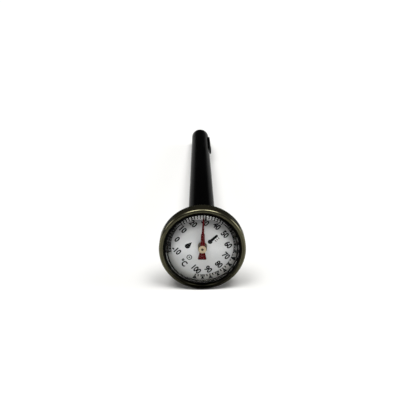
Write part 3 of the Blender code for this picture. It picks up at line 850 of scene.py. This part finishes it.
def make_hub(tan, dark):
    """The pointer's hub: a dark turned barrel, with a tan button riveted over the pointer."""
    front, back = span("pointer_hub")
    pointer_front, pointer_back = span("pointer")
    gap, bore, neck, button, barrel = 0.06, 0.46, 0.85, 1.25, 1.4
    above, below = pointer_front - gap, pointer_back + gap
    corners = [(bore, front, 0.05), (button, front, 0.12), (button, above, 0.03), (neck, above, 0),
               (neck, below, 0), (bore, below, 0)]
    piece = turned("hub_button", rounded(corners, 4), "movement", tan, SMALL_FACETS)
    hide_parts("pointer_hub")
    corners = [(bore, below, 0), (barrel, below, 0.08), (barrel, back, 0.08), (bore, back, 0)]
    piece = turned("hub_barrel", rounded(corners, 4), "movement", dark, SMALL_FACETS)
    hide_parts("pointer_hub")


def make_spindle(material):
    front, end = span("spindle")
    radius = reach("spindle")
    corners = [(0, front, 0), (radius, front, 0.1), (radius, end, 0.05), (0, end, 0)]
    piece = turned("spindle_rod", rounded(corners, 4), "movement", material, 32)
    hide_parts("spindle")


# --------------------------------------------------------------------------- stem

def make_stem(material):
    start, end = span("stem_tube")
    radius = reach("stem_tube")
    bore, plug = 1.45, 1.39
    corners = [(bore, start, 0.05), (radius, start, 0.1), (radius, end, 0.03), (bore, end, 0.03)]
    piece = turned("stem_pipe", rounded(corners, 3), "stem", material, SMALL_FACETS)
    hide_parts("stem_tube")

    start, end = span("stem_tip")
    shoulder = start + 1.06
    corners = [(0, start, 0), (plug, start, 0.1), (plug, shoulder, 0), (radius, shoulder, 0.03),
               (radius, shoulder + 1.0, 0.6), (0.75, end, 0.5), (0, end, 0)]
    piece = turned("stem_point", rounded(corners, 5), "stem", material, SMALL_FACETS)
    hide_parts("stem_tip")


def make_nut(material):
    """A hexagon nut, its corners turned off at both ends."""
    start, end = span("hex_nut")
    flats = reach("hex_nut")
    bore, edge, chamfer, rows, sharpness = 1.96, 0.15, 0.6, 10, 24.0
    corner = flats / math.cos(math.radians(30))

    def hexagon(r, turn):
        """The smaller of r and a hexagon's radius, blended a little where they meet."""
        if r <= bore + 0.3:
            return r
        from_flat = (turn - math.radians(90) + math.radians(30)) % math.radians(60) - math.radians(30)
        side = flats / math.cos(from_flat)
        return (r ** -sharpness + side ** -sharpness) ** (-1 / sharpness)

    cone = [(flats - 0.1 + (corner + 0.5 - flats) * i / rows, chamfer * i / rows) for i in range(rows + 1)]
    outline = [(bore, start + edge), (bore + edge, start), (flats - edge, start)]
    outline += [(r, start + z) for r, z in cone]
    outline += [(corner + 0.4, start + (end - start) * k / 6) for k in range(2, 5)]
    outline += [(r, end - z) for r, z in reversed(cone)]
    outline += [(flats - edge, end), (bore + edge, end), (bore, end - edge)]
    piece = turned("calibration_nut", outline, "stem", material, 180, shape=hexagon)
    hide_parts("hex_nut")


def make_seal(material):
    start, end = span("seal_ring")
    section = (end - start) / 2
    outer = reach("seal_ring")
    outline = arc(outer - section, start + section, section, 0, 330, 11)
    piece = turned("seal", outline, "stem", material, SMALL_FACETS)
    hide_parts("seal_ring")


# --------------------------------------------------------------------------- sheath

PARTING_HEIGHT = 0.03
PARTING_WIDTH = 0.10
PARTING_INNER = 3.6            # the bore's surfaces, inside this radius, have none
CLIP_THICK = 0.4


def parting_line(r, turn):
    """The mould's parting line: a fine ridge down each side."""
    if r < PARTING_INNER:
        return r
    from_side = (turn + math.pi / 2) % math.pi - math.pi / 2
    return r + PARTING_HEIGHT * math.exp(-((from_side * r / PARTING_WIDTH) ** 2))


def sheath_turns():
    """Angles round the sheath, closer together at its parting lines."""
    turns = [math.tau * i / FACETS for i in range(FACETS)]
    for side in (0, math.pi):
        turns += [side + math.radians(k) for k in (-1.7, -1.2, -0.6, 0.6, 1.2, 1.7)]
    return sorted(t % math.tau for t in turns)


def make_sheath(material):
    """The tapered tube with a rounded mouth, and a narrow stretch of bore that grips the stem."""
    start, seam = span("sheath_tube")
    points = local_points("sheath_tube")
    seam_radius = float(abs(points[points[:, 2] > seam - 0.1][:, 1]).max())
    mouth_radius = reach("sheath_tube") + 0.003
    bore, grip, grip_end, lip, rows = 3.15, 2.05, 19.0, 0.36, 24
    first, last = start + lip, seam - 0.12
    outline = [(grip + 0.45, start + 0.02)] + arc(mouth_radius - lip, first, lip, -90, 0, 6)
    for i in range(1, rows + 1):
        z = first + (last - first) * i / rows
        outline.append((mouth_radius + (seam_radius - mouth_radius) * (z - start) / (seam - start), z))
    outline.insert(-1, (seam_radius, seam - 0.3))
    outline += [(seam_radius - 0.03, seam - 0.04), (seam_radius - 0.1, seam), (bore, seam),
                (bore, grip_end + bore - grip), (grip, grip_end), (grip, start + 0.5)]
    piece = turned("sheath_body", outline, "sheath", material, shape=parting_line, turns=sheath_turns())
    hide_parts("sheath_tube")
    return seam_radius


def make_cap(material, radius):
    """The rounded end of the sheath on its plug, slotted for the clip's root.

    Extra rows beside the seam keep the smooth shading of its side from bending there.
    """
    plug_start, end = span("sheath_end_cap")
    seam = span("sheath_tube")[1] + 0.06
    plug, pocket, pocket_end = 2.95, 2.3, 134.6
    outline = [(radius - 0.12, seam), (radius - 0.05, seam + 0.04), (radius - 0.03, seam + 0.12),
               (radius - 0.02, seam + 0.25), (radius - 0.01, seam + 1.5)]
    outline += arc(radius - 1.42, end - 1.52, 1.42, 0, 78, 10)
    outline += [(1.6, end - 0.05), (0.8, end - 0.01), (0, end)]
    outline += [(0, pocket_end), (pocket, pocket_end), (pocket, plug_start), (plug, plug_start + 0.1),
                (plug, seam)]
    piece = turned("sheath_cap", outline, "sheath", material)
    clip = local_points("pocket_clip")
    low, high = clip.min(0), clip.max(0)
    gap, side_gap = 0.15, 0.06
    root = (low[0] - gap, low[1] - side_gap, high[2] - CLIP_THICK - gap)
    past = (radius + 1.0, high[1] + side_gap, high[2] + gap)
    data = bmesh.new()
    size = [(b - a) * MM for a, b in zip(root, past)]
    middle = [(a + b) / 2 * MM for a, b in zip(root, past)]
    bmesh.ops.create_cube(data, size=1.0, matrix=Matrix.Translation(middle) @ Matrix.Diagonal((*size, 1)))
    slot_mesh = bpy.data.meshes.new("slot")
    data.to_mesh(slot_mesh)
    data.free()
    cut_away(piece, slot_mesh)
    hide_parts("sheath_end_cap")


def clip_stations():
    """(x, z) down the middle of the strip, from its root in the cap to its tip."""
    clip = local_points("pocket_clip")
    low, high = clip.min(0), clip.max(0)
    root_z = float(high[2]) - CLIP_THICK / 2
    bend, arm_x = 0.7, 4.48
    stations = [(float(low[0]), root_z), (float(low[0]) + 0.6, root_z)]
    stations += arc(arm_x - bend, root_z - bend, bend, 90, 0, 10)
    start, end = root_z - bend, float(low[2])
    shares = [i / 24 for i in range(1, 22)] + [1 - 0.12 * (1 - k / 12) ** 2 for k in range(1, 13)]
    for share in shares:
        flare = 0.25 * max(0.0, (share - 0.8) / 0.2) ** 2
        stations.append((arm_x + 0.14 * math.sin(share * math.pi / 2) + flare,
                         start + (end - start) * share))
    return stations


def make_clip(material):
    """A strip of spring steel with rounded edges and a rounded tip."""
    half_thick, half_wide, edge, round_tip = CLIP_THICK / 2, 1.98, 0.12, 1.9
    stations = clip_stations()
    tip_z = stations[-1][1]
    points, faces = [], []
    for i, (x, z) in enumerate(stations):
        before, after = stations[max(i - 1, 0)], stations[min(i + 1, len(stations) - 1)]
        along = Vector((after[0] - before[0], after[1] - before[1])).normalized()
        out = Vector((-along.y, along.x))
        to_tip = min(1.0, (z - tip_z) / round_tip)
        half = half_wide * (0.35 + 0.65 * math.sqrt(max(0.0, 1.0 - (1.0 - to_tip) ** 2)))
        section = []
        for corner, (side, face) in enumerate(((1, 1), (-1, 1), (-1, -1), (1, -1))):
            section += arc(side * (half - edge), face * (half_thick - edge), edge, 90 * corner,
                           90 * corner + 90, 3)
        count = len(section)
        points += [(x + out.x * t, w, z + out.y * t) for w, t in section]
        if i:
            base = i * count
            faces += [(base - count + j - 1 if j else base - 1, base - count + j, base + j,
                       base + j - 1 if j else base + count - 1) for j in range(count)]
    faces += [tuple(range(count)), tuple(range(len(points) - count, len(points)))]
    mesh = bpy.data.meshes.new("clip_strip")
    mesh.from_pydata(points, [], faces)
    piece = make_piece("clip_strip", mesh, "clip", material)
    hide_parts("pocket_clip")


# --------------------------------------------------------------------------- the pieces inside

def finish_hidden(materials):
    """Gives a material to each CAD node that stays as it is, inside."""
    for node, material in materials.items():
        mesh = frame["nodes"][node].data
        mesh.materials.clear()
        mesh.materials.append(material)


# --------------------------------------------------------------------------- studio

PANELS = [                     # direction, inner and outer half angle, strength
    ((-0.88, 0.10, 0.36), 6, 15, 5.0),
    ((0.90, 0.0, 0.30), 9, 18, 5.5),
    ((-0.26, -0.22, 0.93), 6, 19, 9.2),
    ((0.26, -0.22, 0.93), 6, 19, 9.2),
]
AMBIENT = 0.06


def make_world():
    """A dark studio with soft panels to the left, to the right and overhead."""
    world = bpy.data.worlds.new("studio")
    bpy.context.scene.world = world
    world.use_nodes = True
    tree = world.node_tree
    direction = add(tree, "TexCoord").outputs["Generated"]
    total = None
    for place, inner, outer, strength in PANELS:
        towards = tuple(Vector(place).normalized())
        closeness = add(tree, "VectorMath", {0: direction, 1: towards}, operation="DOT_PRODUCT")
        light = scaled(tree, closeness.outputs["Value"], 0.0, strength, math.cos(math.radians(outer)),
                       math.cos(math.radians(inner)), True)
        total = light if total is None else math_node(tree, "ADD", total, light)
    total = math_node(tree, "ADD", total, AMBIENT)
    set_inputs(tree, tree.nodes["Background"], {"Strength": total, "Color": (1.0, 0.995, 0.98)})


def make_floor():
    material, tree, shader, at = new_material("pale_floor")
    tone = noise(tree, at.point, 60.0, 2.0)
    set_inputs(tree, shader, {
        "Base Color": mixed(tree, tone, (0.86, 0.86, 0.855), (0.88, 0.88, 0.875)),
        "Roughness": 0.9,
        "Specular IOR Level": 0.1,
    })
    data = bmesh.new()
    bmesh.ops.create_grid(data, x_segments=1, y_segments=1, size=4.0)
    mesh = bpy.data.meshes.new("floor")
    data.to_mesh(mesh)
    data.free()
    mesh.materials.append(material)
    floor = bpy.data.objects.new("floor", mesh)
    bpy.context.scene.collection.objects.link(floor)


def make_camera():
    """Above and in front of the dial, looking down along the stem."""
    azimuth, elevation, distance = math.radians(-0.357), math.radians(28.65), 0.2074
    yaw, pitch = math.radians(1.102), math.radians(-25.136)
    head = STEM.translation
    back = Vector((math.sin(azimuth) * math.cos(elevation), -math.cos(azimuth) * math.cos(elevation),
                   math.sin(elevation)))
    data = bpy.data.cameras.new("camera")
    data.sensor_width = 36.0
    data.lens = 56.46
    data.clip_start = 0.01
    data.clip_end = 20.0
    camera = bpy.data.objects.new("camera", data)
    camera.location = head + back * distance
    camera.rotation_euler = Euler((math.pi / 2 + pitch, 0, -yaw))
    bpy.context.scene.collection.objects.link(camera)
    bpy.context.scene.camera = camera


def build():
    # foot and crest paint shade on the bezel's lower side and on its roll's front, and foot paints shade on
    # the case's lower side
    polished = steel("polished_steel_bezel", (0.15, 0.142, 0.092), (0.085, 0.08, 0.048), 0.10, 0.18, 0.0012,
                     foot=0.25, metallic=0.85, crest=0.45)
    tarnished = steel("tarnished_steel_case", (0.24, 0.23, 0.14), (0.13, 0.125, 0.07), 0.14, 0.24, 0.002,
                      foot=0.4, metallic=0.5)
    satin = steel("satin_steel_stem", (0.46, 0.455, 0.42), (0.33, 0.325, 0.295), 0.24, 0.36, 0.003)
    dark_steel = steel("dark_steel_spindle", (0.10, 0.075, 0.05), (0.05, 0.04, 0.03), 0.3, 0.42, 0.003)
    black_rubber = rubber()
    brass = turned_brass("turned_brass", (0.72, 0.56, 0.32), (0.5, 0.37, 0.19), 0.28)
    dark_brass = turned_brass("dark_hub_brass", (0.10, 0.085, 0.05), (0.05, 0.04, 0.025), 0.35)
    tan = turned_brass("tan_hub", (0.66, 0.55, 0.38), (0.5, 0.4, 0.26), 0.38)
    make_bezel(polished)
    make_case(tarnished)
    make_lens(clear_plastic(), black_rubber)
    make_gasket(black_rubber)
    make_dial(enamel())
    make_scale(ink())
    make_pointer(red_paint())
    make_hub(tan, dark_brass)
    make_spindle(dark_steel)
    make_stem(satin)
    make_nut(satin)
    make_seal(black_rubber)
    black = moulded_black()
    seam_radius = make_sheath(black)
    make_cap(black, seam_radius)
    make_clip(enamelled_black())
    finish_hidden({"dial_spacer": nylon(), "friction_washer": satin, "coil_collet": brass,
                   "retaining_collar": satin, "upper_guide_bush": brass, "middle_guide_bush": brass,
                   "lower_guide_bush": brass, "bimetal_coil": bimetal(), "coil_anchor": satin})
    make_world()
    make_floor()
    make_camera()
    bpy.context.scene.view_settings.view_transform = "Standard"


build()
